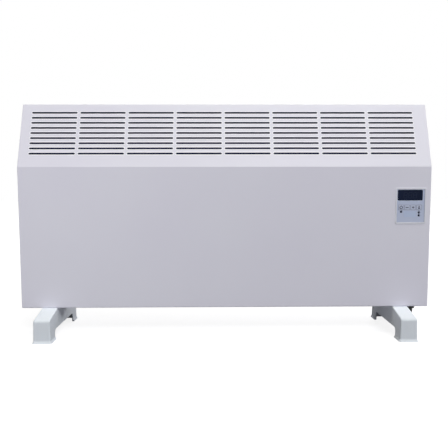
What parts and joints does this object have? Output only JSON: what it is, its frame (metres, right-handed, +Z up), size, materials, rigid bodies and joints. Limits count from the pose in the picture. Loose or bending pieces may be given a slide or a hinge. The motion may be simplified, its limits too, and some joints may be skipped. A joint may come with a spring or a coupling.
{
  "type": "panel convector heater",
  "caption": "Wide wall panel convector heater with a slotted sloping outlet, a keyed control unit at the right, a screwed back panel and two arched floor feet.",
  "frame": {"origin": "on the floor under the middle of the casing, between the two feet", "axes": "+X along the front from left to right, +Y from the front to the back, +Z up"},
  "size_m": [0.9, 0.212, 0.512],
  "materials": {
    "casing_paint": "satin powder coat with a fine grain, light cool grey",
    "foot_plastic": "satin moulded plastic, light grey",
    "black_plastic": "satin moulded nylon, black",
    "bezel_plastic": "fine satin, light grey",
    "overlay_film": "matt film, pale blue-grey",
    "key_plastic": "matt, blue-grey",
    "smoked_window": "gloss, nearly black",
    "indicator_lens": "gloss, dark, unlit",
    "dark_component": "matt moulded component case, black",
    "transformer_case": "matt potted case",
    "pale_nylon": "matt natural nylon",
    "board_laminate": "satin solder mask, green",
    "box_plastic": "fine satin, grey",
    "raw_aluminium": "extruded, plain",
    "heater_steel": "drawn tube, slightly darkened by heat",
    "ceramic": "unglazed ceramic, off-white",
    "plated_brass": "plated, plain",
    "red_silicone": "moulded silicone, brick red",
    "black_rubber": "moulded rubber, black",
    "zinc_steel": "zinc-coated sheet",
    "zinc_fastener": "zinc-plated",
    "cutout_case": "phenolic, brown",
    "sensor_resin": "epoxy bead, black",
    "lead_brown": "silicone insulation, brown",
    "lead_blue": "silicone insulation, blue",
    "lead_white": "silicone insulation, white",
    "lead_green": "silicone insulation, green"
  },
  "bodies": {
    "heater": {"back_panel": "casing_paint", "back_panel_screws": "zinc_fastener", "board_screws": "zinc_fastener", "box_nuts": "zinc_fastener", "box_studs": "zinc_fastener", "cable_gland": "black_plastic", "capacitor": "dark_component", "circuit_board": "board_laminate", "control_bezel": "bezel_plastic", "control_box": "box_plastic", "control_overlay": "overlay_film", "display_module": "dark_component", "display_window": "smoked_window", "earth_nut": "plated_brass", "earth_stud": "plated_brass", "element_bracket_left": "zinc_steel", "element_bracket_right": "zinc_steel", "element_bushes": "red_silicone", "element_fins": "raw_aluminium", "foot_left": "foot_plastic", "foot_nuts": "zinc_fastener", "foot_right": "foot_plastic", "foot_screws": "zinc_fastener", "front_casing": "casing_paint", "gland_locknut": "black_plastic", "gland_nut": "black_plastic", "heat_shield": "zinc_steel", "heater_insulators": "ceramic", "heater_sheath": "heater_steel", "heater_tabs": "plated_brass", "indicator_lights": "indicator_lens", "key_switches": "dark_component", "lead_clips": "pale_nylon", "lead_earth": "lead_green", "lead_grommets": "black_rubber", "lead_live": "lead_brown", "lead_neutral": "lead_blue", "lead_return": "lead_blue", "lead_sensor": "lead_white", "lead_socket": "pale_nylon", "lead_to_cutout": "lead_brown", "lead_to_element": "lead_brown", "partition_plate": "zinc_steel", "relay": "dark_component", "sensor_clip": "pale_nylon", "temperature_sensor": "sensor_resin", "terminal_block": "pale_nylon", "terminal_screws": "plated_brass", "thermal_cutout": "cutout_case", "transformer": "transformer_case"},
    "key_power": {"key_power": "key_plastic", "switch_plunger_power": "dark_component"},
    "key_minus": {"key_minus": "key_plastic", "switch_plunger_minus": "dark_component"},
    "key_plus": {"key_plus": "key_plastic", "switch_plunger_plus": "dark_component"},
    "key_mode": {"key_mode": "key_plastic", "switch_plunger_mode": "dark_component"}
  },
  "joints": [
    {"name": "press_power", "type": "slide", "parent": "heater", "child": "key_power", "axis": [0, 1, 0], "range_m": [0, 0.0005], "stiffness_N_per_m": 800},
    {"name": "press_minus", "type": "slide", "parent": "heater", "child": "key_minus", "axis": [0, 1, 0], "range_m": [0, 0.0005], "stiffness_N_per_m": 800},
    {"name": "press_plus", "type": "slide", "parent": "heater", "child": "key_plus", "axis": [0, 1, 0], "range_m": [0, 0.0005], "stiffness_N_per_m": 800},
    {"name": "press_mode", "type": "slide", "parent": "heater", "child": "key_mode", "axis": [0, 1, 0], "range_m": [0, 0.0005], "stiffness_N_per_m": 800}
  ]
}
